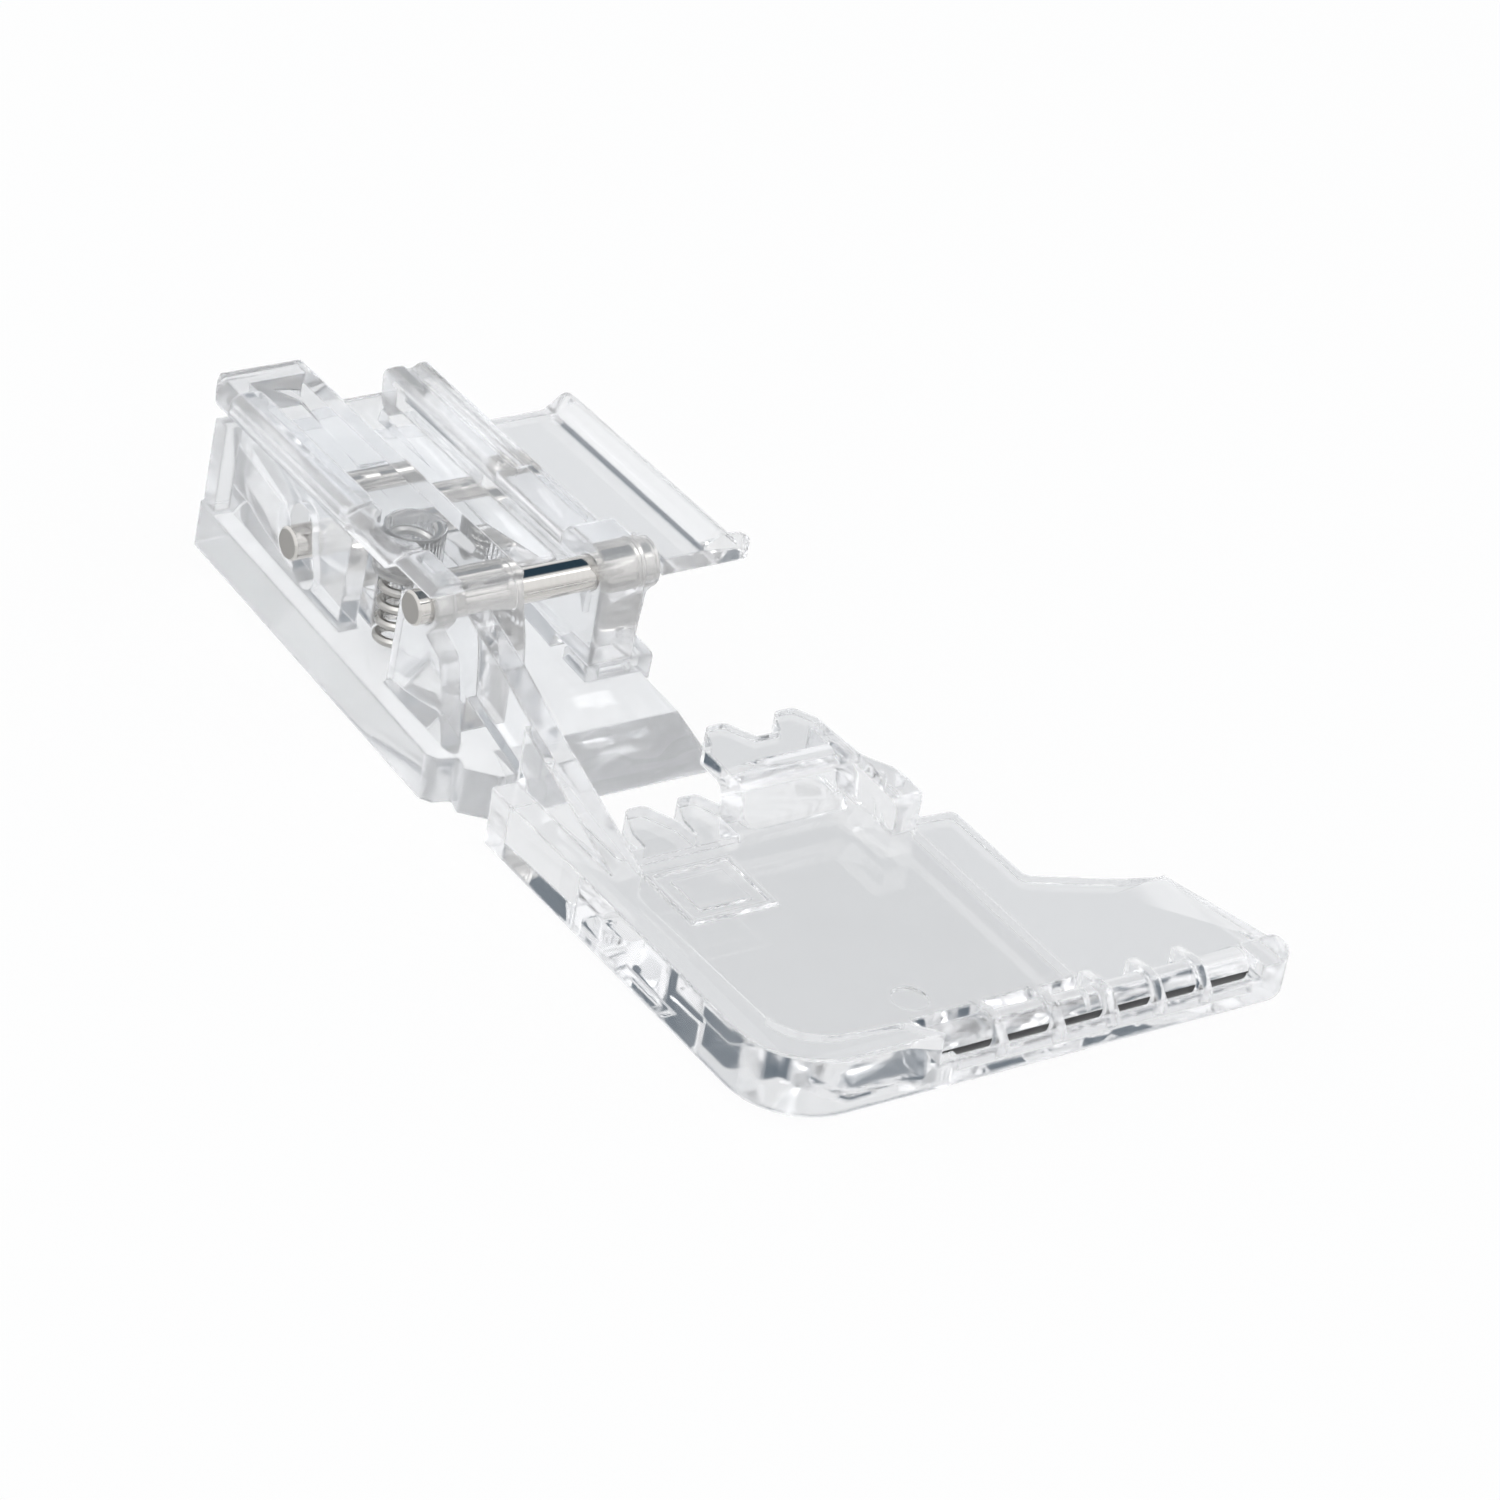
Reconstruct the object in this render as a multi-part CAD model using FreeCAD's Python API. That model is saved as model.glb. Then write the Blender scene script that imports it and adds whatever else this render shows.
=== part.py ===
import FreeCAD, Part
import math
import os

V = FreeCAD.Vector
os.makedirs("parts", exist_ok=True)

# +X is the sewer's right, -Y is the toe, +Z is up. The sizes below are measured from the left face,
# the front edge and the underside of the toe; the finished pieces are moved so that the origin is
# under the middle of the foot, on the surface it stands on.
# Lengths in millimetres, angles in degrees.

# Toe plate
toe_width = 28.2
toe_plate_z = 2.3
toe_rim_z = 3.2
rim_width = 1.5
rim_slope = 0.8
rim_rear_y = 13.6
slope_front_y = 3.9
slope_length = 10.4
corner_radius = 3.8
right_corner_radius = 1.5
right_side_lean = 0.0787
lower_edge_radius = 0.45
rail_front_y = 15.2
rail_end_y = 23.3
rail_inner_x = 2.8
plate_right_x = 17.3
opening_y = 18.9

# Raised finger block beside the needle opening
finger_z = 4.1
finger_under_z = 3.25
finger_left_x = 9.9
finger_right_x = 16.4
finger_front_y = 17.3
finger_top_y = 18.5
finger_base_y = 21.6
finger_length = 1.5
finger_pitch = 3.75
finger_corner_radius = 0.8
shoulder_front_y = 14.8
plate_finger_x = 6.0
plate_finger_pitch = 2.75
plate_finger_low_z = 0.9

# Bare raised rectangle and round ejector mark on the plate
label_x = 3.4
label_y = 11.9
label_width = 4.5
label_depth = 4.0
label_line = 0.28
label_rise = 0.14
mark_x = 9.3
mark_y = 3.75
mark_radius = 0.85

# Low panel beside the knife
panel_z = 1.0
panel_edge_x = 21.2
panel_ramp_z = 2.05
panel_side_y = 8.9
panel_notch_y = 11.4
panel_rear_y = 17.0
front_bar_z = 2.2
front_bar_depth = 2.0

# Front guide: a rounded bead, its groove and the cross ribs
bead_start_x = 8.4
bead_end_x = 26.0
bead_y = 1.45
bead_radius = 0.75
bead_z = 1.55
lip_z = 1.5
lip_width = 0.32
groove_floor_z = 0.8
rib_places_x = (11.9, 14.95, 17.85, 20.45, 22.95)
rib_width = 0.5
rib_rise = 0.2
rib_foot_z = 0.95

# Pins
pin_diameter = 1.65
clip_pin_y = 31.1
clip_pin_z = 8.0
stop_pin_radius = 10.9
stop_pin_angle = -14.0
pin_left_x = -0.3
clip_pin_length = 12.9
stop_pin_length = 13.5
pin_bevel = 0.12
running_clearance = 0.04

# Upper block of the body
block_left_x = 1.6
arm_left_x = 1.25
arm_bend_y = 22.2
arm_bend_z = 5.7
channel_left_x = 4.6
channel_right_x = 9.2
block_right_x = 11.4
flange_left_x = pin_left_x
flange_above_pin = 1.8
flange_thickness = 1.05
flange_front_thickness = 0.5
flange_corner_radius = 1.4
flange_edge_radius = 0.8
arch_radius = 1.35
front_edge_radius = 0.5
flange_top_z = clip_pin_z + flange_above_pin
flange_under_z = flange_top_z - flange_thickness
flange_front_under_z = flange_top_z - flange_front_thickness
block_rear_y = 50.2
block_front_y = 29.7
channel_floor_z = clip_pin_z - 0.7
right_top_z = clip_pin_z + 0.75
right_flange_z = clip_pin_z
right_flange_x = 12.2
hump_front_y = 39.4

# Finger tab at the right
tab_rear_y = 44.8
tab_front_y = 30.9
tab_thickness = 0.85
tab_bead_x = 15.2
tab_bead_rise = 0.85
tab_right_x = 17.3
tab_corner_radius = 1.2
ear_right_x = 18.1
ear_rear_y = 31.9
lug_room_x = 13.2

# Rear sole
heel_tilt = 3.5
heel_left_x = -0.5
heel_right_x = 13.7
heel_front_y = 25.0
heel_rear_y = 49.0
heel_plate_z = 2.4
heel_bevel_y = 26.85
heel_bevel_left_x = 2.6
heel_edge_z = 0.4
heel_corner_depth = 2.6
heel_corner_chamfer_x = 0.4
heel_corner_chamfer_y = 0.5
heel_notch_x = 1.3
heel_notch_rear = 1.9
heel_notch_front = 1.1
heel_nose_x = 2.4
heel_side_bevel = 1.2
heel_side_low_z = 0.5
lug_base_z = 3.25
lug_base_left_x = 9.5
lug_base_right_x = 13.1
lug_base_front_y = 30.2
lug_base_rear_y = 32.2
window_front_y = 33.05
window_rear_y = 37.5
cheek_thickness = 1.0
right_cheek_thickness = 0.8
right_cheek_shoulder_z = 6.6
right_cheek_rear_z = 5.5
left_cheek_front_y = 27.9
right_cheek_front_y = 31.2
left_cheek_shoulder_z = 7.7
left_cheek_rear_z = 6.95
cheek_front_run = 1.3
cheek_front_drop = 1.4
cheek_shoulder_y = 33.6
left_eye_radius = 1.15
right_eye_radius = 1.2
neck_front = 0.9
neck_low_z = 3.6
neck_high_z = 6.6
end_rib_width = 1.0
end_rib_z = 7.1
right_notch_z = 3.0
right_notch_room = 0.6
cheek_gap = 0.1
cheek_rear_y = 48.9
heel_travel_up = 1.2
heel_travel_down = 4.0

# Pressure spring
spring_x = 2.5
spring_y = 35.6
spring_radius = 1.12
spring_wire = 0.42
spring_turns = 6
wire_sides = 8
pocket_radius = 1.45
pocket_top_z = flange_top_z - 1.3
boss_radius = 1.75
boss_low_z = pocket_top_z - 1.5


def rounded_wire(corners, lift):
    """Closed wire through corners (a, b, radius); lift turns a flat pair into a vector."""
    edges = []
    count = len(corners)
    ends = []
    for i in range(count):
        ax, ay, _ = corners[i - 1]
        bx, by, radius = corners[i]
        cx, cy, _ = corners[(i + 1) % count]
        if radius <= 0:
            ends.append(((bx, by), (bx, by), (bx, by)))
            continue
        ux, uy = ax - bx, ay - by
        wx, wy = cx - bx, cy - by
        lu, lw = math.hypot(ux, uy), math.hypot(wx, wy)
        ux, uy, wx, wy = ux / lu, uy / lu, wx / lw, wy / lw
        half = math.acos(max(-1.0, min(1.0, ux * wx + uy * wy))) / 2.0
        reach = radius / math.tan(half)
        mx, my = ux + wx, uy + wy
        lm = math.hypot(mx, my)
        far = radius / math.sin(half) - radius
        ends.append((
            (bx + ux * reach, by + uy * reach),
            (bx + mx / lm * far, by + my / lm * far),
            (bx + wx * reach, by + wy * reach),
        ))
    for i in range(count):
        start, middle, stop = ends[i]
        if start != stop:
            edges.append(Part.Arc(lift(*start), lift(*middle), lift(*stop)).toShape())
        after = ends[(i + 1) % count][0]
        if math.hypot(after[0] - stop[0], after[1] - stop[1]) > 1e-6:
            edges.append(Part.makeLine(lift(*stop), lift(*after)))
    return Part.Wire(Part.__sortEdges__(edges))


def slab(corners, z0, z1):
    """Rounded plan outline made into a plate from z0 to z1."""
    return Part.Face(rounded_wire(corners, lambda x, y: V(x, y, z0))).extrude(V(0, 0, z1 - z0))


def wall(corners, x0, x1):
    """Rounded side outline made into an upright wall from x0 to x1."""
    return Part.Face(rounded_wire(corners, lambda y, z: V(x0, y, z))).extrude(V(x1 - x0, 0, 0))


def box(x0, x1, y0, y1, z0, z1):
    return Part.makeBox(x1 - x0, y1 - y0, z1 - z0, V(x0, y0, z0))


def rod_x(radius, y, z, x0, x1):
    return Part.makeCylinder(radius, x1 - x0, V(x0, y, z), V(1, 0, 0))


def joined(shapes):
    whole = shapes[0].multiFuse(shapes[1:])
    return whole.removeSplitter()


def tilted(shape, degrees):
    """Turn about the clip pin's axis; a positive angle lifts the rear."""
    turned = shape.copy()
    turned.rotate(V(0, clip_pin_y, clip_pin_z), V(1, 0, 0), degrees)
    return turned


def stop_pin_centre():
    angle = math.radians(stop_pin_angle)
    return (clip_pin_y + stop_pin_radius * math.cos(angle), clip_pin_z + stop_pin_radius * math.sin(angle))


def finger_row(base_y, tip_y, first_x, pitch, z0, z1):
    """Two tapered teeth with round ends, pointing to the rear."""
    teeth = []
    for k in range(2):
        x = first_x + k * pitch
        teeth.append(slab([
            (x - 1.25, base_y - 1.6, 0), (x + 1.45, base_y - 1.6, 0), (x + 1.35, base_y, 0.2),
            (x + 0.55, tip_y, 0.45), (x - 0.5, tip_y, 0.45), (x - 1.15, base_y, 0.2)], z0, z1))
    return joined(teeth)


def toe_plate():
    plate = slab([
        (0, rail_end_y, 0), (0, 0, corner_radius), (plate_right_x, 0, 0),
        (plate_right_x, opening_y - 1.0, 0), (rail_inner_x + 0.6, opening_y - 1.0, 0.5),
        (rail_inner_x, rail_end_y, 0)], 0, toe_plate_z)
    rim = slab([
        (0, rail_end_y, 0), (0, 0, corner_radius), (bead_start_x, 0, 0),
        (bead_start_x - 1.2, rim_width * 0.9, 0.8), (rim_width + 0.3, rim_width + 0.3, corner_radius - 1.0),
        (rim_width, rim_rear_y, 1.5), (rail_inner_x, rail_front_y, 1.0), (rail_inner_x, rail_end_y, 0)],
        0, toe_rim_z)
    ramp_points = [
        (rim_width - 0.4, toe_rim_z), (rim_width, toe_rim_z), (rim_width + rim_slope, toe_plate_z),
        (rim_width + rim_slope, toe_plate_z - 0.4), (rim_width - 0.4, toe_plate_z - 0.4)]
    section = [V(x, slope_front_y, z) for x, z in ramp_points]
    face = Part.Face(Part.makePolygon(section + [section[0]]))
    inner_slope = face.extrude(V(0, slope_length, 0))
    return joined([plate, rim, inner_slope])


def toe_blank():
    """Block that holds the whole toe and has the rounded lower edge of its outline."""
    depth, height = 2 * rail_end_y, 2 * finger_z
    blank = slab([
        (0, depth, 0), (0, 0, corner_radius), (toe_width, 0, right_corner_radius),
        (toe_width - right_side_lean * depth, depth, 0)], 0, height)
    lower = [e for e in blank.Edges if e.BoundBox.ZMax < height / 4 and e.BoundBox.YMin < depth / 2]
    return blank.makeFillet(lower_edge_radius, lower)


def panel_outline(top_z):
    """Plan outline of the low panel, made up to the given level."""
    return slab([
        (plate_right_x - 0.6, 0, 0), (toe_width, 0, right_corner_radius),
        (toe_width - right_side_lean * panel_side_y, panel_side_y, 0.5),
        (toe_width - 2.8, panel_side_y + 0.6, 0.8), (panel_edge_x, panel_notch_y, 0.5),
        (panel_edge_x, panel_rear_y, 0.4), (plate_right_x - 0.6, panel_rear_y + 0.3, 0)], 0, top_z)


def knife_panel():
    """Low panel to the right of the plate, with the ramp that climbs to its front right corner."""
    p = [V(toe_width - 4.2, panel_side_y - 0.3, panel_z), V(toe_width - 1.0, panel_side_y, panel_z + 0.15),
         V(toe_width, 0.6, panel_ramp_z), V(plate_right_x + 1.1, 0.6, panel_z + 0.35),
         V(plate_right_x + 1.3, 3.2, panel_z)]
    crest = [V(a.x, a.y, 0.2) for a in p]
    faces = [Part.Face(Part.makePolygon([p[0], p[1], p[2], p[0]])),
             Part.Face(Part.makePolygon([p[0], p[2], p[3], p[0]])),
             Part.Face(Part.makePolygon([p[0], p[3], p[4], p[0]])),
             Part.Face(Part.makePolygon(crest + [crest[0]]))]
    for i in range(5):
        j = (i + 1) % 5
        faces.append(Part.Face(Part.makePolygon([p[i], p[j], crest[j], crest[i], p[i]])))
    ramp = Part.Solid(Part.Shell(faces))
    bar = slab([
        (plate_right_x - 0.6, 0, 0), (toe_width, 0, right_corner_radius),
        (toe_width - right_side_lean * front_bar_depth, front_bar_depth, 0.4),
        (plate_right_x - 0.6, front_bar_depth, 0)], 0, front_bar_z)
    return joined([panel_outline(panel_z), ramp.common(panel_outline(toe_plate_z)), bar])


def finger_block():
    """Raised block at the right of the needle opening, its rear part a thin tongue."""
    side = wall([
        (finger_front_y, 0, 0), (finger_front_y, toe_plate_z, 0), (finger_top_y, finger_z, 0.5),
        (finger_base_y, finger_z, 0), (finger_base_y, finger_under_z, 0),
        (opening_y + 0.9, finger_under_z, 0.6),
        (opening_y + 0.5, 0, 0)], finger_left_x, finger_right_x)
    tongue = finger_row(
        finger_base_y, finger_base_y + finger_length, finger_left_x + 1.6, finger_pitch,
        finger_under_z, finger_z)
    trim = box(
        finger_left_x, finger_right_x, opening_y - 1, finger_base_y + 2 * finger_length, 0, 2 * finger_z)
    rounding = slab([
        (finger_left_x, 2 * finger_base_y, 0), (finger_left_x, finger_front_y, finger_corner_radius),
        (finger_right_x, finger_front_y, 0), (finger_right_x, 2 * finger_base_y, 0)], 0, 2 * finger_z)
    inner_x, outer_x = finger_right_x - 0.4, plate_right_x + 0.3
    shoulder_top_z = finger_z - 0.15
    shoulder = slab([
        (inner_x, shoulder_front_y, 0), (outer_x, shoulder_front_y, 0.5), (outer_x, finger_front_y, 0.9),
        (finger_right_x + 0.3, opening_y, 0.8), (finger_right_x + 0.15, finger_base_y, 0.3),
        (inner_x, finger_base_y + 0.3, 0)], 0, 2 * finger_z)
    crest = wall([
        (shoulder_front_y, toe_plate_z - 0.8, 0), (shoulder_front_y, shoulder_top_z, 0.7),
        (2 * finger_base_y, shoulder_top_z, 0), (2 * finger_base_y, toe_plate_z - 0.8, 0)],
        inner_x, outer_x + 1)
    web = box(inner_x, plate_right_x + 0.15, shoulder_front_y + 0.1, finger_top_y - 0.7, 0, toe_plate_z)
    return joined([side.common(rounding), tongue.common(trim), shoulder.common(crest), web])


def front_guide_cut():
    """Step in front of the plate where the bead and its ribs lie, the lip's rounded edge and the groove."""
    step = wall([
        (-0.5, lip_z, 0), (front_bar_depth + 0.35, lip_z, 0),
        (front_bar_depth + 0.6, 4.0, 0), (-0.5, 4.0, 0)],
        bead_start_x, bead_end_x)
    nose = lip_width * 0.8
    edge = box(bead_start_x, bead_end_x, -0.1, nose, lip_z - nose, lip_z + 0.1)
    edge = edge.cut(rod_x(nose, nose, lip_z - nose, bead_start_x - 1, bead_end_x + 1))
    groove = box(bead_start_x + 1.2, bead_end_x - 0.4, lip_width, bead_y - 0.2, groove_floor_z, lip_z + 0.1)
    return joined([step, edge, groove])


def front_guide():
    """Bead along the front and the ribs that wrap over it, down to the lip."""
    parts = [rod_x(bead_radius, bead_y, bead_z, bead_start_x + 0.6, bead_end_x - 0.3)]
    crest_z = bead_z + bead_radius + rib_rise
    for x in rib_places_x:
        parts.append(wall([
            (0.04, rib_foot_z, 0.2), (0.04, lip_z + 0.1, 0.3), (bead_y - 0.5, crest_z, 0.7),
            (bead_y + 0.2, crest_z, 0.9), (front_bar_depth + 0.7, toe_plate_z, 0),
            (front_bar_depth + 0.7, rib_foot_z, 0)],
            x - rib_width / 2, x + rib_width / 2))
    return parts


def label_and_mark():
    """Bare raised rectangle and the round ejector mark on the plate."""
    x0, y0 = label_x, label_y
    x1, y1 = x0 + label_width, y0 + label_depth
    line, low = label_line, toe_plate_z - 0.2
    frame = box(x0, x1, y0, y1, low, toe_plate_z + label_rise)
    inside = box(x0 + line, x1 - line, y0 + line, y1 - line, low - 0.1, toe_plate_z + 1)
    panel = box(x0 + 0.9, x1 - 0.9, y0 + 0.8, y1 - 0.8, low, toe_plate_z + label_rise / 2)
    mark = Part.makeCylinder(mark_radius, 0.2, V(mark_x, mark_y, toe_plate_z - 0.1))
    return [frame.cut(inside), panel], mark


def arm_side(rear_corners, x0, x1):
    """Side of the neck from its foot on the rail up to the bend, closed by the corners given."""
    rise = [
        (rail_front_y, toe_rim_z - 0.5, 0), (rail_front_y, toe_rim_z - 0.02, 0),
        (arm_bend_y, arm_bend_z, 6.0)]
    return wall(rise + rear_corners + [(rail_end_y, toe_rim_z - 1.0, 0)], x0, x1)


def arm():
    """Neck that rises from the rail to the upper block."""
    inside_y = block_front_y + 1.3
    return arm_side([
        (block_front_y - 3.5, clip_pin_z - 0.65, 3.0), (inside_y, clip_pin_z + 0.9, 0),
        (inside_y, clip_pin_z - 2.8, 0), (block_front_y - 1.7, clip_pin_z - 3.7, 1.5),
        (rail_end_y, toe_rim_z - 0.1, 0.6)], block_left_x, rail_inner_x)


def arm_face():
    """Thicker outer side of the neck beside the toe's rail."""
    return arm_side([(rail_end_y, arm_bend_z + 0.4, 0)], arm_left_x, rail_inner_x - 0.5)


def underside(y):
    """Level of the block's underside, clear of the rear sole at both ends of its travel."""
    levels = []
    for degrees in (heel_tilt + heel_travel_up + 1.0, heel_tilt - heel_travel_down - 1.0):
        a = math.radians(degrees)
        reach = (y - clip_pin_y) * math.sin(a)
        levels.append(clip_pin_z + reach - (clip_pin_z - heel_plate_z) * math.cos(a))
    return max(levels) + 0.15


def rod_y(radius, x, z, y0, y1):
    return Part.makeCylinder(radius, y1 - y0, V(x, y0, z), V(0, 1, 0))


def rounded_strip(radius, x_side, z_top, x_step, y0, y1):
    """What rounds a top edge that runs along Y; x_step is 1 for an edge on the left, -1 on the right."""
    x_axis = x_side + x_step * radius
    x0, x1 = sorted((x_side - x_step * radius, x_axis))
    corner = box(x0, x1, y0, y1, z_top - radius, z_top + radius)
    return corner.cut(rod_y(radius, x_axis, z_top - radius, y0 - 1, y1 + 1))


def left_wall():
    """Wall to the left of the channel, which the neck carries."""
    rear_y = block_rear_y - 0.8
    chin_y = block_front_y - 1.2
    return wall([
        (block_front_y, flange_top_z - 0.4, 0.3), (block_front_y - 0.9, clip_pin_z - 1.4, 1.2),
        (chin_y, clip_pin_z - 3.4, 0.6), (chin_y, underside(chin_y), 0),
        (rear_y, underside(rear_y), 0), (rear_y, flange_top_z - 0.4, 0)], block_left_x, channel_left_x)


def flange():
    """Plate over the left wall and the sole's left cheek."""
    step_y = clip_pin_y + 1.9
    plate = wall([
        (block_front_y, flange_front_under_z, 0), (block_front_y, flange_top_z, 0.15),
        (block_rear_y, flange_top_z, 0.3), (block_rear_y, flange_under_z, 0.3),
        (step_y + 0.4, flange_under_z, 0.2), (step_y, flange_front_under_z, 0.2)],
        flange_left_x, channel_left_x)
    axis_x, axis_y = flange_left_x + flange_corner_radius, block_rear_y - flange_corner_radius
    corner = box(flange_left_x - 1, axis_x, axis_y, block_rear_y + 1, clip_pin_z - 2, flange_top_z + 1)
    corner = corner.cut(Part.makeCylinder(flange_corner_radius, 2 * clip_pin_z, V(axis_x, axis_y, 0)))
    edge = rounded_strip(
        flange_edge_radius, flange_left_x, flange_top_z, 1, block_front_y - 1, block_rear_y + 1)
    front_y, rear_y = window_rear_y + 0.1, block_rear_y - 1.8
    recess = slab([
        (flange_left_x + 0.5, rear_y, 0.3), (flange_left_x + 0.5, front_y, 0.6),
        (block_left_x, front_y, 0.6),
        (block_left_x, rear_y, 0.3)], flange_under_z - 0.5, flange_under_z + 0.4)
    return plate.cut(corner).cut(edge).cut(recess)


def channel_floor():
    """Floor of the holder's channel and the web under it that carries the stop pin."""
    stop_y, stop_z = stop_pin_centre()
    front_y = block_front_y + 4.0
    return wall([
        (front_y + 0.2, channel_floor_z - 1.3, 0.4), (front_y, channel_floor_z, 0.3),
        (block_rear_y - 0.2, channel_floor_z, 0.2), (block_rear_y - 0.6, channel_floor_z - 1.7, 0),
        (stop_y + 2.2, stop_z - 1.7, 0.8), (stop_y - 2.2, stop_z - 1.7, 0.8)],
        channel_left_x - 0.1, channel_right_x + 0.1)


def right_wall():
    """Wall to the right of the channel: an arch over the clip pin, then a flat and two humps."""
    arch_y, arch_z = clip_pin_y - arch_radius - 0.1, clip_pin_z + arch_radius + 0.1
    over_base_z = lug_base_z + 0.35
    foot_y, rear_y = lug_base_rear_y + 1.0, block_rear_y - 0.8
    side = wall([
        (arch_y, arch_z, arch_radius), (arch_y + 0.2, over_base_z, 0.3), (foot_y - 0.2, over_base_z, 0.3),
        (foot_y, underside(foot_y), 0), (rear_y, underside(rear_y), 0), (rear_y + 0.4, right_top_z, 0.3),
        (clip_pin_y + 2.5, right_top_z, 0.4), (clip_pin_y + 1.9, arch_z, 0.6)],
        channel_right_x, block_right_x)
    axis_x, axis_y = channel_right_x + front_edge_radius, arch_y + front_edge_radius
    upright = box(channel_right_x - 0.1, axis_x, arch_y - 1, axis_y, over_base_z - 1, arch_z + 1)
    upright = upright.cut(Part.makeCylinder(front_edge_radius, 2 * arch_z, V(axis_x, axis_y, 0)))
    end_y = block_rear_y + 1
    dip = rod_y(0.55, block_right_x - 0.75, right_top_z + 0.2, hump_front_y, end_y)
    soft = rounded_strip(0.6, channel_right_x, right_top_z, 1, hump_front_y, end_y)
    return side.cut(upright).cut(dip).cut(soft)


def upper_block():
    low_z = right_flange_z - tab_thickness
    front_y, rear_y = tab_front_y + 4.0, block_rear_y - 1.2
    ridge = wall([
        (front_y, low_z, 0), (front_y, right_flange_z, 0),
        (rear_y, right_flange_z, 0.5), (rear_y, low_z, 0)],
        block_right_x - 0.2, right_flange_x)
    return joined([left_wall(), flange(), channel_floor(), right_wall(), ridge])


def finger_tab():
    """Sheet to the right of the block, with a raised bead along its outer edge and an ear at the front."""
    top, low = right_flange_z, right_flange_z - tab_thickness
    x_in = block_right_x + 0.2
    outline = rounded_wire([
        (x_in, low, 0), (x_in, top, 0), (tab_bead_x, top, 0.9),
        (tab_bead_x + 1.15, top + tab_bead_rise, 0.4),
        (tab_right_x, top + 0.15, 0.45), (tab_right_x - 0.7, low, 0.6)], lambda x, z: V(x, tab_front_y, z))
    sheet = Part.Face(outline).extrude(V(0, tab_rear_y - tab_front_y, 0))
    tall, wide = 2 * clip_pin_z, 2 * ear_right_x
    lug_room = box(x_in - 1, lug_room_x, tab_front_y - 1, clip_pin_y + 2.3, 0, tall)
    axis_x, axis_y = tab_right_x - tab_corner_radius, tab_rear_y - tab_corner_radius
    round_off = box(axis_x, wide, axis_y, tab_rear_y + 1, 0, tall)
    round_off = round_off.cut(Part.makeCylinder(tab_corner_radius, tall, V(axis_x, axis_y, 0)))
    ear = slab([
        (tab_bead_x - 0.9, tab_front_y, 0), (ear_right_x, tab_front_y, 0.42),
        (ear_right_x, ear_rear_y, 0.42),
        (tab_bead_x + 0.9, ear_rear_y + 0.3, 0.3), (tab_bead_x - 0.9, ear_rear_y + 0.3, 0)], low, top)
    return joined([sheet.cut(lug_room).cut(round_off), ear])


def foot_body():
    bare_marks, ejector = label_and_mark()
    toe = joined([toe_plate(), knife_panel(), finger_block(),
                  finger_row(opening_y + 0.2, opening_y + 1.9, plate_finger_x, plate_finger_pitch,
                             plate_finger_low_z, toe_plate_z)] + bare_marks)
    toe = toe.common(toe_blank()).cut(ejector).cut(front_guide_cut())
    toe = joined([toe] + front_guide())
    body = joined([toe, arm(), arm_face(), upper_block(), finger_tab()])
    stop_y, stop_z = stop_pin_centre()
    clip_hole = rod_x(pin_diameter / 2 + running_clearance, clip_pin_y, clip_pin_z, -2, lug_room_x)
    stop_hole = rod_x(pin_diameter / 2 + running_clearance, stop_y, stop_z, -2, 20)
    boss_height = flange_under_z - boss_low_z + 0.2
    boss = Part.makeCylinder(boss_radius, boss_height, V(spring_x, spring_y, boss_low_z))
    pocket = Part.makeCylinder(pocket_radius, pocket_top_z, V(spring_x, spring_y, 0))
    body = joined([body, boss])
    return body.cut(clip_hole).cut(stop_hole).cut(pocket).removeSplitter()


def stop_slot(x0, x1):
    """Curved slot about the clip pin that lets the stop pin move with the sole's tilt."""
    radius = pin_diameter / 2 + 0.12
    angles = [stop_pin_angle - heel_tilt + s for s in (-heel_travel_up - 6.0, heel_travel_down + 0.6)]
    inner, outer = stop_pin_radius - radius, stop_pin_radius + radius
    low, high = [math.radians(a) for a in angles]
    middle = (low + high) / 2

    def at(r, a):
        return V(x0, clip_pin_y + r * math.cos(a), clip_pin_z + r * math.sin(a))

    def beyond(a, sign):
        c = at(stop_pin_radius, a)
        return c + V(0, -math.sin(a), math.cos(a)) * (radius * sign)

    edges = [
        Part.Arc(at(inner, low), at(inner, middle), at(inner, high)).toShape(),
        Part.Arc(at(inner, high), beyond(high, 1), at(outer, high)).toShape(),
        Part.Arc(at(outer, high), at(outer, middle), at(outer, low)).toShape(),
        Part.Arc(at(outer, low), beyond(low, -1), at(inner, low)).toShape(),
    ]
    return Part.Face(Part.Wire(edges)).extrude(V(x1 - x0, 0, 0))


def cheek(x0, x1, eye_radius, front_y, shoulder_z, rear_z):
    """Side wall of the rear sole with the pin's eye at its front end."""
    plate = heel_plate_z - 0.1
    side = wall([
        (front_y, plate, 0), (front_y + cheek_front_run, shoulder_z - cheek_front_drop, 1.0),
        (cheek_shoulder_y, shoulder_z, 1.0), (cheek_rear_y, rear_z, 0.2), (cheek_rear_y, plate, 0)], x0, x1)
    eye = rod_x(eye_radius, clip_pin_y, clip_pin_z, x0, x1)
    neck = wall([
        (clip_pin_y - neck_front, plate, 0), (clip_pin_y - neck_front / 3, neck_low_z, 0.3),
        (clip_pin_y - neck_front / 2, neck_high_z, 0.5), (clip_pin_y - eye_radius, clip_pin_z - 0.3, 0),
        (clip_pin_y + eye_radius, clip_pin_z, 0), (clip_pin_y + eye_radius, plate, 0)], x0, x1)
    hole = rod_x(pin_diameter / 2 + running_clearance, clip_pin_y, clip_pin_z, x0 - 1, x1 + 1)
    return joined([side, eye, neck]).cut(hole)


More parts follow.
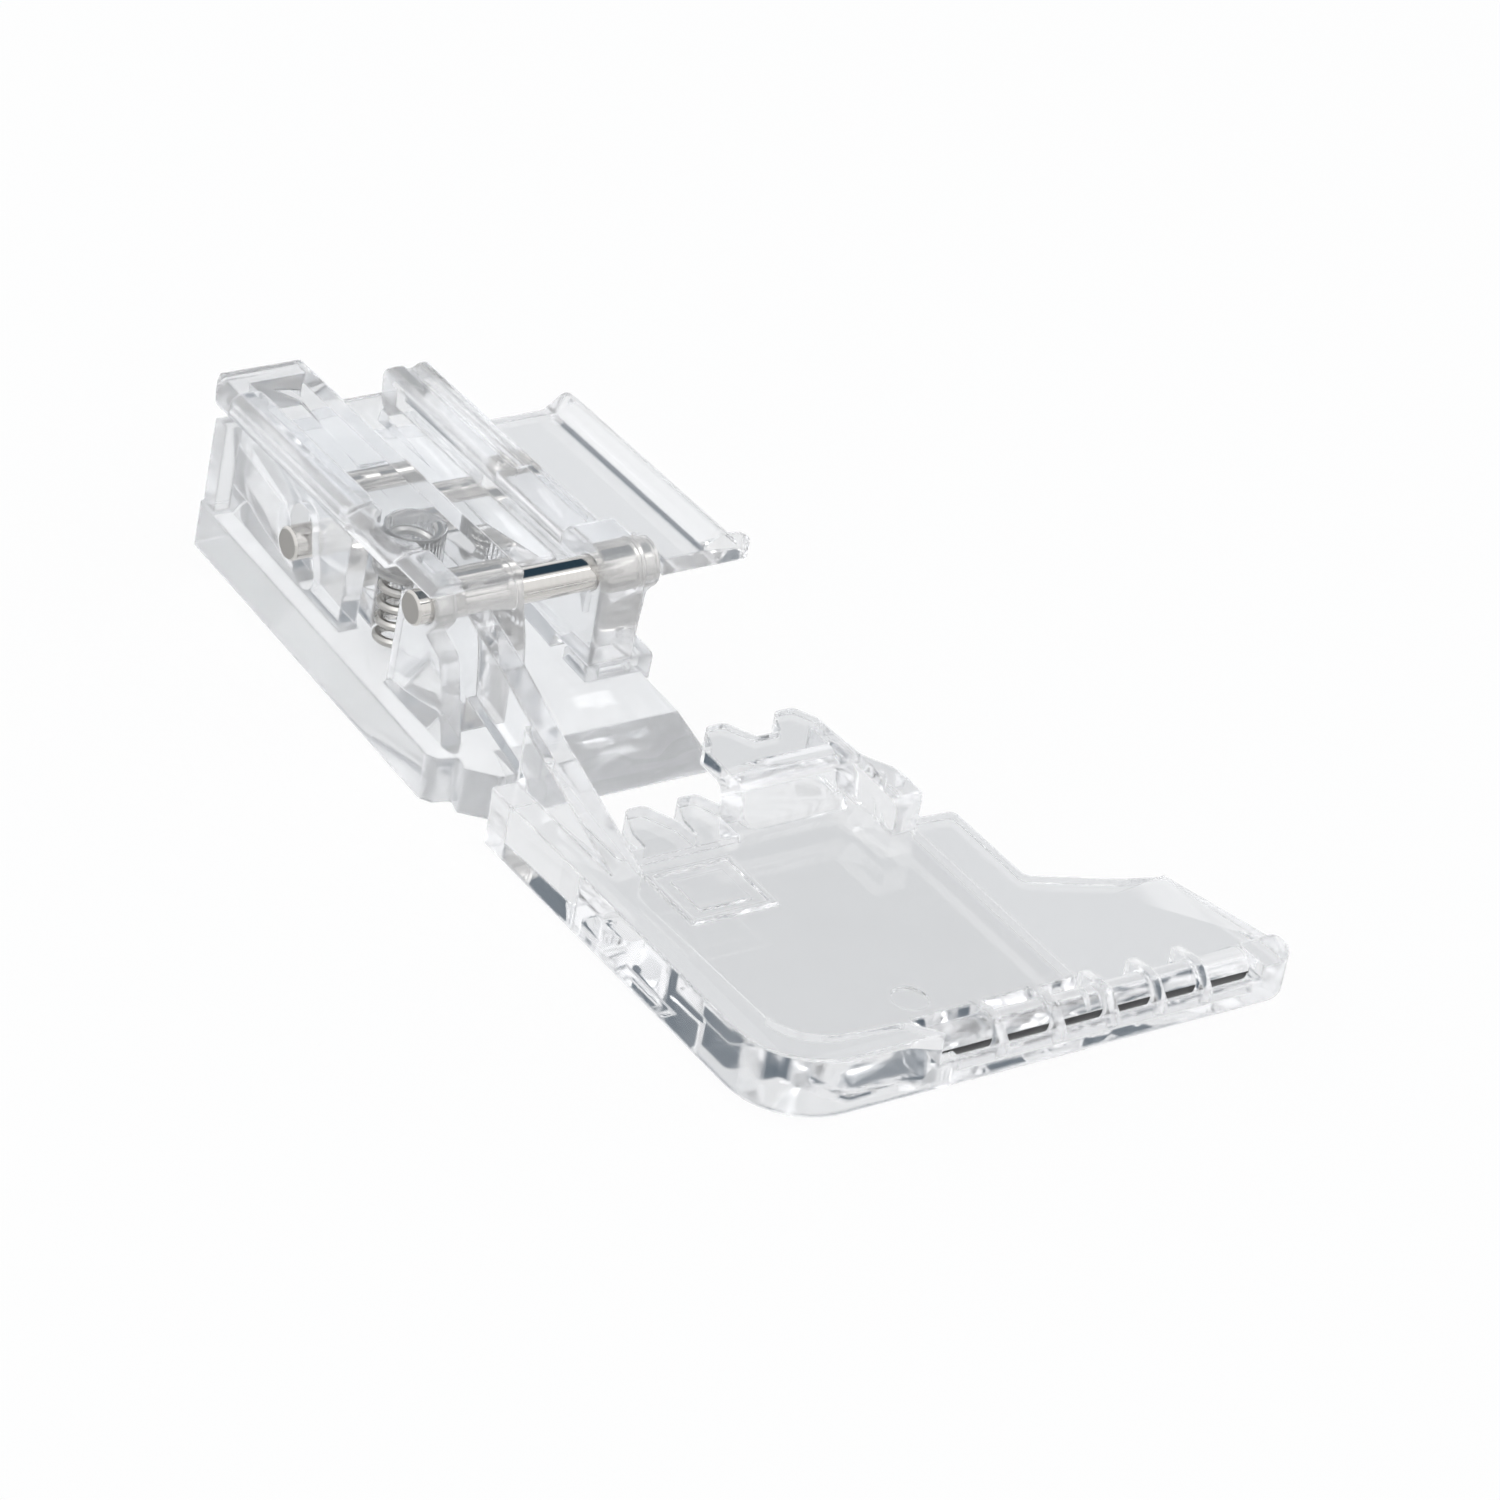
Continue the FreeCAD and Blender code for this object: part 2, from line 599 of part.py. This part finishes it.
def heel_sole():
    x0, x1 = heel_left_x, heel_right_x
    plate = slab([
        (x0, heel_rear_y, 0.25), (x0, heel_front_y + heel_corner_depth, 0.4),
        (x0 + heel_corner_chamfer_x, heel_front_y + heel_corner_depth - heel_corner_chamfer_y, 0.2),
        (x0 + heel_notch_x, heel_front_y + heel_notch_rear, 0.15),
        (x0 + heel_notch_front, heel_front_y + heel_notch_front, 0.15), (x0 + heel_nose_x, heel_front_y, 0.3),
        (x1, heel_front_y, 0.4), (x1, heel_rear_y, 0.5)], 0, heel_plate_z)
    start_y, over_z = heel_front_y - heel_corner_depth, heel_plate_z + heel_side_bevel
    slope = [
        (x1 - heel_side_bevel, heel_plate_z), (x1, heel_side_low_z), (x1 + heel_side_bevel, heel_side_low_z),
        (x1 + heel_side_bevel, over_z), (x1 - heel_side_bevel, over_z)]
    section = [V(x, start_y, z) for x, z in slope]
    side_face = Part.Face(Part.makePolygon(section + [section[0]]))
    bevel = side_face.extrude(V(0, heel_rear_y - start_y + heel_corner_depth, 0))
    front = wall([
        (heel_bevel_y, heel_plate_z, 0), (heel_front_y, heel_edge_z, 0), (start_y, heel_edge_z, 0),
        (start_y, over_z, 0), (heel_bevel_y, over_z, 0)], heel_bevel_left_x, x1 + 1)
    plate = plate.cut(bevel).cut(front)
    left_inner = block_left_x - cheek_gap
    left_outer = left_inner - cheek_thickness
    right_inner = block_right_x + cheek_gap
    right_outer = right_inner + right_cheek_thickness
    left = cheek(
        left_outer, left_inner, left_eye_radius, left_cheek_front_y, left_cheek_shoulder_z, left_cheek_rear_z)
    right = cheek(
        right_inner, right_outer, right_eye_radius, right_cheek_front_y, right_cheek_shoulder_z,
        right_cheek_rear_z)
    rib_front_y = cheek_rear_y - end_rib_width
    rib = wall([
        (rib_front_y, heel_plate_z - 0.1, 0), (rib_front_y, end_rib_z, 0), (cheek_rear_y, end_rib_z, 0.2),
        (cheek_rear_y, heel_plate_z - 0.1, 0)], pin_left_x, left_outer + 0.1)
    above = clip_pin_z + pin_diameter
    window = wall([
        (window_front_y, heel_plate_z, 0.3), (window_front_y, above, 0),
        (window_rear_y, above, 0), (window_rear_y, heel_plate_z, 0.3)], left_outer - 1, left_inner + 1)
    left = joined([left.cut(window), rib]).cut(stop_slot(left_outer - 2, left_inner + 1))
    notch_y = stop_pin_centre()[0] - right_notch_room / 2
    notch_half = pin_diameter / 2 + right_notch_room
    notch = wall([
        (notch_y - notch_half, above, 0), (notch_y - notch_half, right_notch_z, 0.8),
        (notch_y + notch_half, right_notch_z, 0.8), (notch_y + notch_half, above, 0)],
        right_inner - 1, right_outer + 1)
    right = right.cut(notch)
    base = wall([
        (lug_base_front_y, heel_plate_z - 0.5, 0), (lug_base_front_y, lug_base_z, 0.25),
        (lug_base_rear_y, lug_base_z, 0.3), (lug_base_rear_y, heel_plate_z - 0.5, 0)],
        lug_base_left_x, lug_base_right_x)
    hollow = box(lug_base_left_x + 0.7, right_inner + 0.4, lug_base_front_y - 0.1, lug_base_front_y + 0.7,
                 heel_plate_z + 0.1, lug_base_z - 0.2)
    whole = joined([plate, left, right, base]).cut(hollow)
    return tilted(whole, heel_tilt)


def pin(y, z, length):
    rod = rod_x(pin_diameter / 2, y, z, pin_left_x, pin_left_x + length)
    ends = [e for e in rod.Edges if e.Curve.TypeId == "Part::GeomCircle"]
    return rod.makeChamfer(pin_bevel, ends)


def pressure_spring():
    """Compression spring between the sole and the block's pocket; its wire is a many-sided bar."""
    seat = clip_pin_z + (spring_y - clip_pin_y) * math.sin(math.radians(heel_tilt))
    seat -= (clip_pin_z - heel_plate_z) * math.cos(math.radians(heel_tilt))
    low = seat + 0.1 + spring_wire / 2
    high = pocket_top_z - 0.02 - spring_wire / 2
    pitch = (high - low) / spring_turns
    along = V(0, spring_radius, pitch / (2 * math.pi)).normalize()
    out = V(1, 0, 0)
    across = along.cross(out)
    step = 2 * math.pi / wire_sides
    reach = spring_wire / 2 * math.sqrt(step / math.sin(step))
    corners = []
    for k in range(wire_sides):
        angle = step * (k + 0.5)
        corners.append(V(spring_radius, 0, 0) + (out * math.cos(angle) + across * math.sin(angle)) * reach)
    section = Part.makePolygon(corners + [corners[0]])
    helix = Part.Wire(Part.makeHelix(pitch, high - low, spring_radius))
    coil = helix.makePipeShell([section], True, True)
    coil.translate(V(spring_x, spring_y, low))
    return coil


def main():
    stop_y, stop_z = stop_pin_centre()
    shapes = {
        "foot_body": foot_body(),
        "heel_sole": heel_sole(),
        "clip_pin": pin(clip_pin_y, clip_pin_z, clip_pin_length),
        "stop_pin": pin(stop_y, stop_z, stop_pin_length),
        "pressure_spring": pressure_spring(),
    }
    both = Part.Compound([shapes["foot_body"], shapes["heel_sole"]]).optimalBoundingBox(False, False)
    shift = V(-(both.XMin + both.XMax) / 2, -(both.YMin + both.YMax) / 2, -both.ZMin)
    print("shift", shift)
    for name, shape in shapes.items():
        shape.translate(shift)
        solids = len(shape.Solids)
        volume = round(shape.Volume, 2)
        print(name, "solids", solids, "valid", shape.isValid(), "volume", volume)
        shape.exportStep("parts/" + name + ".step")


main()
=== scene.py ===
# %% [markdown]
# A presser foot for an overlock sewing machine, moulded in clear plastic, with steel pins.
# Clear plastic has no colour of its own: what is seen in it are its edges and the room around it.
# So this lesson is about three things: clean faces, the shader of the plastic, and a studio with
# light and dark sides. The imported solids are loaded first, because every piece stands on them.

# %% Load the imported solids
import math

import bpy
from mathutils import Matrix, Vector


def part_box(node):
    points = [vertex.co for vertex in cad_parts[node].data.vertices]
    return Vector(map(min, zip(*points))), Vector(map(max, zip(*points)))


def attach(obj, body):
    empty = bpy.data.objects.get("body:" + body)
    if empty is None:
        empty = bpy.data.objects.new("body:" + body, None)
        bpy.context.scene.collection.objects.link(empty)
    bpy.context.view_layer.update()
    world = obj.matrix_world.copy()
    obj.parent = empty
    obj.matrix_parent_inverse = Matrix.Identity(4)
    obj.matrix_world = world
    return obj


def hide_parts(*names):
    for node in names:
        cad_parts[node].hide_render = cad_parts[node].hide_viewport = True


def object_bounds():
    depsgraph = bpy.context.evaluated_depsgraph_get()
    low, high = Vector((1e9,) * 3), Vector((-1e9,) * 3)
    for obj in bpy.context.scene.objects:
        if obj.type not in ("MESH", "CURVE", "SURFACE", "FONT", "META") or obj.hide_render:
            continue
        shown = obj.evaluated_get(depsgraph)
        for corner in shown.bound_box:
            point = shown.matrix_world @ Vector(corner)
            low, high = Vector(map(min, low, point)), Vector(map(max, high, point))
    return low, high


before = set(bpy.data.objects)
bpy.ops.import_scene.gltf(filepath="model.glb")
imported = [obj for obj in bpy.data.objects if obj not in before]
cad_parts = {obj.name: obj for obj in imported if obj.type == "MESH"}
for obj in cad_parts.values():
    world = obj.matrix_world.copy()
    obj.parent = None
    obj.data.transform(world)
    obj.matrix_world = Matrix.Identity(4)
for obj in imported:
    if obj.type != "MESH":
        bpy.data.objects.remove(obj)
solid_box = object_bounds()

MM = 0.001

# %% [markdown]
# Through a clear part every face is seen twice or more, so a face that is shaded a little wrong bends
# all that lies behind it. A imported solid is made of loose triangles. A clean copy stands in for each
# of the two mouldings: the triangles are merged and flat faces are made whole again. Curved walls are
# then shaded smooth, and a Weighted Normal modifier gives each large flat face its true direction.
# A Bevel modifier would round the small radii of the edges, but its overlap limit follows the smallest
# facet and leaves nothing of the radius, and without the limit the rounded faces cut through each
# other. So the mesh keeps its plain faces, and the plastic's shader softens the edges further down.

# %% Make clean copies of the clear mouldings
SHARP_ANGLE = math.radians(35)
CREASE = (Vector((10.21, -16.5, 1.357)) * MM, Vector((4.81, -21.9, 1.357)) * MM)


def only(obj):
    bpy.ops.object.select_all(action="DESELECT")
    obj.select_set(True)
    bpy.context.view_layer.objects.active = obj


def keep_crease(piece):
    """Mark the shallow fold of the low panel's ramp as sharp, which the angle rule would smooth."""
    start, along = CREASE[0], (CREASE[1] - CREASE[0]).normalized()
    for edge in piece.data.edges:
        ends = [piece.data.vertices[i].co - start for i in edge.vertices]
        if all(end.cross(along).length < 0.03 * MM for end in ends):
            edge.use_edge_sharp = True


def clean_copy(node, name, body):
    """Copy of a node with whole, truly flat faces, which stands in for it."""
    piece = bpy.data.objects.new(name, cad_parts[node].data.copy())
    bpy.context.scene.collection.objects.link(piece)
    only(piece)
    bpy.ops.object.mode_set(mode="EDIT")
    bpy.ops.mesh.select_all(action="SELECT")
    bpy.ops.mesh.remove_doubles(threshold=0.001 * MM)
    bpy.ops.mesh.dissolve_limited(angle_limit=math.radians(0.5))
    bpy.ops.mesh.normals_make_consistent(inside=False)
    bpy.ops.object.mode_set(mode="OBJECT")
    bpy.ops.object.shade_smooth_by_angle(angle=SHARP_ANGLE)
    keep_crease(piece)
    level = piece.modifiers.new("level faces", "WEIGHTED_NORMAL")
    level.mode = "FACE_AREA"
    level.weight = 100
    level.keep_sharp = True
    bpy.ops.object.modifier_apply(modifier=level.name)
    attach(piece, body)
    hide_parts(node)
    print(name, "faces", len(piece.data.polygons))
    return piece


clear_foot = clean_copy("foot_body", "clear_foot", "foot")
clear_sole = clean_copy("heel_sole", "clear_sole", "sole")

# %% [markdown]
# Shader maths reads best as plain expressions. The class below wraps a socket and overloads the
# operators, so that a line such as `0.2 + mask * 0.5` adds the Math nodes by itself. Any other node
# comes from one method, which takes its type, its settings and the values of its sockets.

# %% Write shader maths as expressions
class Paint:
    """The nodes of one material or of the world."""

    def __init__(self, owner, output="OutputMaterial"):
        self.owner = owner
        self.output = output
        owner.use_nodes = True
        self.tree = owner.node_tree
        self.tree.nodes.clear()

    def plug(self, value, socket):
        """Link a socket's value, or write a plain one."""
        if isinstance(value, Sock):
            self.tree.links.new(value.socket, socket)
        else:
            socket.default_value = value

    def node(self, kind, settings=None, **sockets):
        made = self.tree.nodes.new("ShaderNode" + kind)
        for key, value in (settings or {}).items():
            setattr(made, key, value)
        for key, value in sockets.items():
            self.plug(value, made.inputs[key.replace("_", " ")])
        return made

    def out(self, made, name):
        return Sock(self, made.outputs[name])

    def mix(self, factor, first, second):
        made = self.tree.nodes.new("ShaderNodeMixShader")
        for i, value in enumerate((factor, first, second)):
            self.plug(value, made.inputs[i])
        return Sock(self, made.outputs[0])

    def close(self, shader):
        end = self.tree.nodes.new("ShaderNode" + self.output)
        self.plug(shader, end.inputs["Surface"])
        return self.owner


class Sock:
    """A socket that understands arithmetic."""

    def __init__(self, paint, socket):
        self.paint = paint
        self.socket = socket

    def _math(self, operation, first, second):
        made = self.paint.tree.nodes.new("ShaderNodeMath")
        made.operation = operation
        for i, value in enumerate((first, second)):
            self.paint.plug(value, made.inputs[i])
        return Sock(self.paint, made.outputs[0])

    def __add__(self, other):
        return self._math("ADD", self, other)

    def __radd__(self, other):
        return self._math("ADD", other, self)

    def __sub__(self, other):
        return self._math("SUBTRACT", self, other)

    def __rsub__(self, other):
        return self._math("SUBTRACT", other, self)

    def __mul__(self, other):
        return self._math("MULTIPLY", self, other)

    def __rmul__(self, other):
        return self._math("MULTIPLY", other, self)

    def atleast(self, other):
        return self._math("MAXIMUM", self, other)

    def between(self, low, high):
        """0 below low, 1 above high, and a soft step in between."""
        made = self.paint.tree.nodes.new("ShaderNodeMapRange")
        made.interpolation_type = "SMOOTHSTEP"
        made.inputs["From Min"].default_value = low
        made.inputs["From Max"].default_value = high
        self.paint.plug(self, made.inputs["Value"])
        return Sock(self.paint, made.outputs[0])


# %% [markdown]
# Clear moulded plastic is a smooth dielectric with an index of refraction of about 1.5. Light should
# pass it on the way to the floor, so shadow rays meet a Transparent shader in place of the plastic.
# Three things keep it from looking like cut glass. A Bevel node turns the normals near each edge, as
# the small radii of a moulding do. A low bump adds the long shallow waves that the melt leaves. And
# the plate of the toe is a little greyer than the rest, which a tint inside one box gives.

# %% Clear plastic
EDGE_RADIUS = 0.22 * MM
PLATE = ((-11.5, 3.75), (-22.8, -6.0), (0.0, 2.9))
CLEAR_TINT = 0.98
PLATE_TINT = 0.90


def inside(p, place, box):
    """1 inside the box, whose sides are given in millimetres, and 0 outside."""
    parts = p.node("SeparateXYZ", Vector=place)
    mask = 1.0
    for axis, (low, high) in zip("XYZ", box):
        along = p.out(parts, axis)
        soft = 0.03 * MM
        rise = along.between(low * MM - soft, low * MM)
        fall = 1.0 - along.between(high * MM, high * MM + soft)
        mask = rise * fall * mask
    return mask


def clear_plastic(name, clarity, wave, plate=CLEAR_TINT):
    p = Paint(bpy.data.materials.new(name))
    place = p.out(p.node("TexCoord"), "Object")
    waves = p.node("TexNoise", Vector=place, Scale=160.0, Detail=1.0, Roughness=0.4)
    height = p.out(waves, "Fac")
    soft_edge = p.out(p.node("Bevel", {"samples": 4}, Radius=EDGE_RADIUS), "Normal")
    bump = p.node("Bump", Height=height, Strength=wave, Distance=0.0002, Normal=soft_edge)
    cloud = p.out(p.node("TexNoise", Vector=place, Scale=300.0, Detail=3.0, Roughness=0.6), "Fac")
    clear = CLEAR_TINT + cloud * 0.01
    clear = clear - inside(p, place, PLATE) * (CLEAR_TINT - plate) * (1.0 - cloud * 0.4)
    tint = p.node("CombineXYZ", X=clear, Y=clear * 1.003, Z=clear * 1.008)
    plastic = p.node("BsdfPrincipled", Base_Color=p.out(tint, "Vector"), Normal=p.out(bump, "Normal"))
    plastic.inputs["Roughness"].default_value = 0.015
    plastic.inputs["IOR"].default_value = 1.5
    plastic.inputs["Transmission Weight"].default_value = clarity
    open_air = p.node("BsdfTransparent")
    open_air.inputs["Color"].default_value = (0.93, 0.94, 0.95, 1)
    shadow = p.out(p.node("LightPath"), "Is Shadow Ray")
    return p.close(p.mix(shadow, p.out(plastic, "BSDF"), p.out(open_air, "BSDF")))


polished = clear_plastic("polished_plastic", 0.985, 0.08, PLATE_TINT)
hazy = clear_plastic("hazy_plastic", 0.90, 0.12)
sole_plastic = clear_plastic("sole_plastic", 0.82, 0.10)
print("plastics", [m.name for m in (polished, hazy, sole_plastic)])

# %% [markdown]
# A core pin leaves a duller wall in a hole than the polished tool leaves outside. A thin grey veil
# shows it: a rough surface with a low Alpha, so that the plastic behind it still shines through. In the
# spring's pocket the veil is darker and thicker: the satin wall is real, and its darkness is painted
# shade in the recess. The same shader, darker and nearly solid, is the dark line that stands in the
# groove of the front guide.

# %% Grey veils: satin walls of holes, painted shade in the pocket, and the groove's dark line
def grey_veil(name, tone, cover):
    """A grey veil with a fine grain."""
    p = Paint(bpy.data.materials.new(name))
    place = p.out(p.node("TexCoord"), "Object")
    grain = p.out(p.node("TexNoise", Vector=place, Scale=5000.0, Detail=2.0, Roughness=0.6), "Fac")
    grey = tone * (0.75 + grain * 0.5)
    colour = p.node("CombineXYZ", X=grey, Y=grey, Z=grey * 0.99)
    veil = p.node("BsdfPrincipled", Base_Color=p.out(colour, "Vector"))
    veil.inputs["Roughness"].default_value = 0.4
    veil.inputs["Alpha"].default_value = cover
    return p.close(p.out(veil, "BSDF"))


bore = grey_veil("pin_bore", 0.80, 0.20)
# The pocket's satin wall is real; its dark tone is painted shade in the recess.
pocket = grey_veil("pocket_satin_and_painted_shade", 0.22, 0.5)
groove = grey_veil("guide_groove", 0.02, 0.97)
print("walls", [m.name for m in (bore, pocket, groove)])

# %% [markdown]
# Each face of a moulding gets its material by its place. The holes are found from the boxes of the
# pins and of the spring that lie in them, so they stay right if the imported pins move. The dark line
# lies on the bead's faces that look at the lip, and the five ribs over the bead break it.

# %% Give each face its material
BLOCK_FRONT = -1.1 * MM
POCKET_REACH = 1.5 * MM
RIBS_X = (-1.889, 1.161, 4.061, 6.661, 9.161)
GROOVE_X = (-4.8, 12.0)
GROOVE_Y = (-24.42, -24.1)
GROOVE_Z = (1.46, 1.96)

pin_boxes = [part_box(node) for node in ("clip_pin", "stop_pin")]
pin_axes = [(low + high) / 2 for low, high in pin_boxes]
pin_radius = (pin_boxes[0][1].z - pin_boxes[0][0].z) / 2
spring_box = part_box("pressure_spring")
spring_middle = (spring_box[0] + spring_box[1]) / 2


def in_bore(face):
    """True for a face of the round holes that the pins lie in."""
    for axis in pin_axes:
        away = math.hypot(face.center.y - axis.y, face.center.z - axis.z)
        if abs(face.normal.x) < 0.2 and away < pin_radius + 0.08 * MM:
            return True
    return False


def in_pocket(face):
    """True for a face of the spring's round pocket."""
    away = math.hypot(face.center.x - spring_middle.x, face.center.y - spring_middle.y)
    return abs(face.normal.z) < 0.2 and away < POCKET_REACH and face.center.z > spring_middle.z


def in_groove(face):
    """True for the bead's faces that look into the groove behind the lip, between the ribs."""
    x, y, z = face.center / MM
    between_ribs = GROOVE_X[0] < x < GROOVE_X[1] and all(abs(x - rib) > 0.3 for rib in RIBS_X)
    faces_lip = face.normal.y < -0.6 and face.normal.z < 0.1
    in_reach = GROOVE_Y[0] < y < GROOVE_Y[1] and GROOVE_Z[0] < z < GROOVE_Z[1]
    return between_ribs and faces_lip and in_reach


def coat(obj, *materials):
    obj.data.materials.clear()
    for material in materials:
        obj.data.materials.append(material)


coat(clear_foot, polished, hazy, bore, pocket, groove)
coat(clear_sole, sole_plastic, bore)
for face in clear_foot.data.polygons:
    face.material_index = 1 if face.center.y > BLOCK_FRONT else 0
    if in_bore(face):
        face.material_index = 2
    elif in_pocket(face):
        face.material_index = 3
    elif in_groove(face):
        face.material_index = 4
for face in clear_sole.data.polygons:
    face.material_index = 1 if in_bore(face) else 0
for piece in (clear_foot, clear_sole):
    slots = [face.material_index for face in piece.data.polygons]
    print(piece.name, "faces per material", [slots.count(i) for i in sorted(set(slots))])

# %% [markdown]
# The pins are ground steel. Grinding leaves hair-fine rings round a pin, so a noise that is squeezed
# along the pin's axis varies the roughness and a very low bump. The ends are cut, not ground: they are
# darker and rougher, which a mask on the Object X of the two end faces gives. The spring is drawn wire.

# %% Ground steel and drawn wire
END_DEPTH = 0.04 * MM


def steel(name, colour, low, high, stretch, ends=None):
    p = Paint(bpy.data.materials.new(name))
    place = p.out(p.node("TexCoord"), "Object")
    turned = p.out(p.node("Mapping", Vector=place, Scale=stretch), "Vector")
    grain = p.out(p.node("TexNoise", Vector=turned, Scale=900.0, Detail=3.0, Roughness=0.6), "Fac")
    rough = low + grain * (high - low)
    bump = p.node("Bump", Height=grain, Strength=0.08, Distance=0.00002)
    shade = 0.94 + grain * 0.12
    if ends:
        along = p.out(p.node("SeparateXYZ", Vector=place), "X")
        left = 1.0 - along.between(ends[0], ends[0] + END_DEPTH)
        right = along.between(ends[1] - END_DEPTH, ends[1])
        shade = shade * (1.0 - (left + right) * 0.42)
        rough = rough + (left + right) * 0.2
    tint = p.node("CombineXYZ", X=shade * colour[0], Y=shade * colour[1], Z=shade * colour[2])
    metal = p.node("BsdfPrincipled", Base_Color=p.out(tint, "Vector"), Roughness=rough,
                   Normal=p.out(bump, "Normal"))
    metal.inputs["Metallic"].default_value = 1.0
    return p.close(p.out(metal, "BSDF"))


GROUND = (0.68, 0.66, 0.63)
DRAWN = (0.50, 0.49, 0.47)
for node in ("clip_pin", "stop_pin"):
    ends = [corner.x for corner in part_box(node)]
    pin_steel = steel(node + "_steel", GROUND, 0.05, 0.16, (6.0, 1.0, 1.0), ends)
    coat(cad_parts[node], pin_steel)
coat(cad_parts["pressure_spring"], steel("spring_wire", DRAWN, 0.22, 0.40, (1.0, 1.0, 1.0)))
print("materials", [m.name for m in bpy.data.materials])

# %% [markdown]
# The floor and the room decide how clear plastic and steel look. The camera sees a white floor, which
# keeps the foot's shadow. What the plastic refracts of it is a little darker, so the part stands out.

# %% Floor
FLOOR_GAP = 0.02 * MM


def white_floor(z):
    bpy.ops.object.select_all(action="DESELECT")
    bpy.ops.mesh.primitive_plane_add(size=3.0, location=(0, 0, z))
    floor = bpy.context.object
    floor.name = "floor"
    p = Paint(bpy.data.materials.new("white_table"))
    paper = p.node("BsdfDiffuse")
    paper.inputs["Color"].default_value = (0.86, 0.86, 0.86, 1)
    glow = p.node("Emission")
    glow.inputs["Color"].default_value = (1, 1, 1, 1)
    seen = p.node("Emission")
    seen.inputs["Color"].default_value = (0.82, 0.826, 0.833, 1)
    ray = p.node("LightPath")
    through = p.out(ray, "Is Transmission Ray").atleast(p.out(ray, "Is Glossy Ray"))
    lit = p.mix(through * 0.9, p.out(paper, "BSDF"), p.out(seen, "Emission"))
    white = p.mix(p.out(ray, "Is Camera Ray") * 0.9, lit, p.out(glow, "Emission"))
    coat(floor, p.close(white))
    print("floor at z", round(z / MM, 3), "mm")


white_floor(solid_box[0].z - FLOOR_GAP)

# %% [markdown]
# The room is a pale world with one dark, slightly blue card above and behind the foot. The card is what
# the side walls of the toe show as dark patches, and the steel as a dark band. Two soft lamps add the
# highlights on the edges.

# %% Room and lamps
def room():
    """World light: pale walls and ceiling, and one dark card above and behind the foot."""
    world = bpy.data.worlds.new("studio")
    bpy.context.scene.world = world
    p = Paint(world, "OutputWorld")
    toward = p.node("SeparateXYZ", Vector=p.out(p.node("TexCoord"), "Generated"))
    up = p.out(toward, "Z")
    away = p.out(toward, "X") * 0.50 + p.out(toward, "Y") * 0.40 + up * 0.77
    level = 0.92 + up.between(-0.2, 0.3) * 0.14
    card = away.between(0.78, 0.90)
    red, green, blue = (level * (1.0 - card * dark) for dark in (0.97, 0.94, 0.91))
    grey = p.node("CombineXYZ", X=red, Y=green * 1.005, Z=blue * 1.02)
    walls = p.node("Background", Color=p.out(grey, "Vector"))
    white = p.node("Background", Color=(1, 1, 1, 1))
    camera = p.out(p.node("LightPath"), "Is Camera Ray")
    p.close(p.mix(camera, p.out(walls, "Background"), p.out(white, "Background")))


def softbox(name, place, aim, size, watts):
    light = bpy.data.lights.new(name, "AREA")
    light.shape = "RECTANGLE"
    light.size, light.size_y = size
    light.energy = watts
    lamp = bpy.data.objects.new(name, light)
    bpy.context.scene.collection.objects.link(lamp)
    lamp.location = place
    lamp.rotation_euler = (Vector(aim) - Vector(place)).to_track_quat("-Z", "Y").to_euler()
    print(name, "watts", watts)


room()
middle = (solid_box[0] + solid_box[1]) / 2
softbox("key_softbox", (-0.25, 0.05, 0.45), middle, (0.30, 0.20), 0.5)
softbox("fill_softbox", (0.35, -0.20, 0.35), middle, (0.20, 0.20), 0.2)

# %% [markdown]
# The camera stands in front of the toe's left corner and looks down at about 31 degrees. It is turned
# a little about its own axis, as a hand-held camera is, and its lens is long, so nothing is distorted.
# Rays need many bounces, because each wall of a clear part is two surfaces.

# %% Camera
AZIMUTH = math.radians(-38.63)
ELEVATION = math.radians(31.44)
ROLL = math.radians(9.93)
DISTANCE = 270.17 * MM
TARGET = Vector((2.281, 0.85, 0.357)) * MM
IMAGE_WIDTH = 1500
FOCAL_PIXELS = 5857.5
SENSOR_WIDTH = 36.0
BOUNCES = 24


def look():
    ahead = -Vector((math.sin(AZIMUTH) * math.cos(ELEVATION),
                     -math.cos(AZIMUTH) * math.cos(ELEVATION),
                     math.sin(ELEVATION)))
    right = ahead.cross(Vector((0, 0, 1))).normalized()
    up = right.cross(ahead)
    across = right * math.cos(ROLL) + up * math.sin(ROLL)
    upward = up * math.cos(ROLL) - right * math.sin(ROLL)
    camera_data = bpy.data.cameras.new("camera")
    camera_data.sensor_width = SENSOR_WIDTH
    camera_data.lens = FOCAL_PIXELS / IMAGE_WIDTH * SENSOR_WIDTH
    camera_data.clip_start = 0.01
    camera_data.clip_end = 20.0
    camera = bpy.data.objects.new("camera", camera_data)
    bpy.context.scene.collection.objects.link(camera)
    turn = Matrix((across, upward, -ahead)).transposed().to_4x4()
    camera.matrix_world = Matrix.Translation(TARGET - ahead * DISTANCE) @ turn
    bpy.context.scene.camera = camera
    return camera


camera = look()
bpy.context.scene.cycles.max_bounces = BOUNCES
bpy.context.scene.cycles.transmission_bounces = BOUNCES
bpy.context.scene.cycles.glossy_bounces = BOUNCES
bpy.context.scene.view_settings.view_transform = "Standard"
print("camera at", [round(v, 4) for v in camera.location])
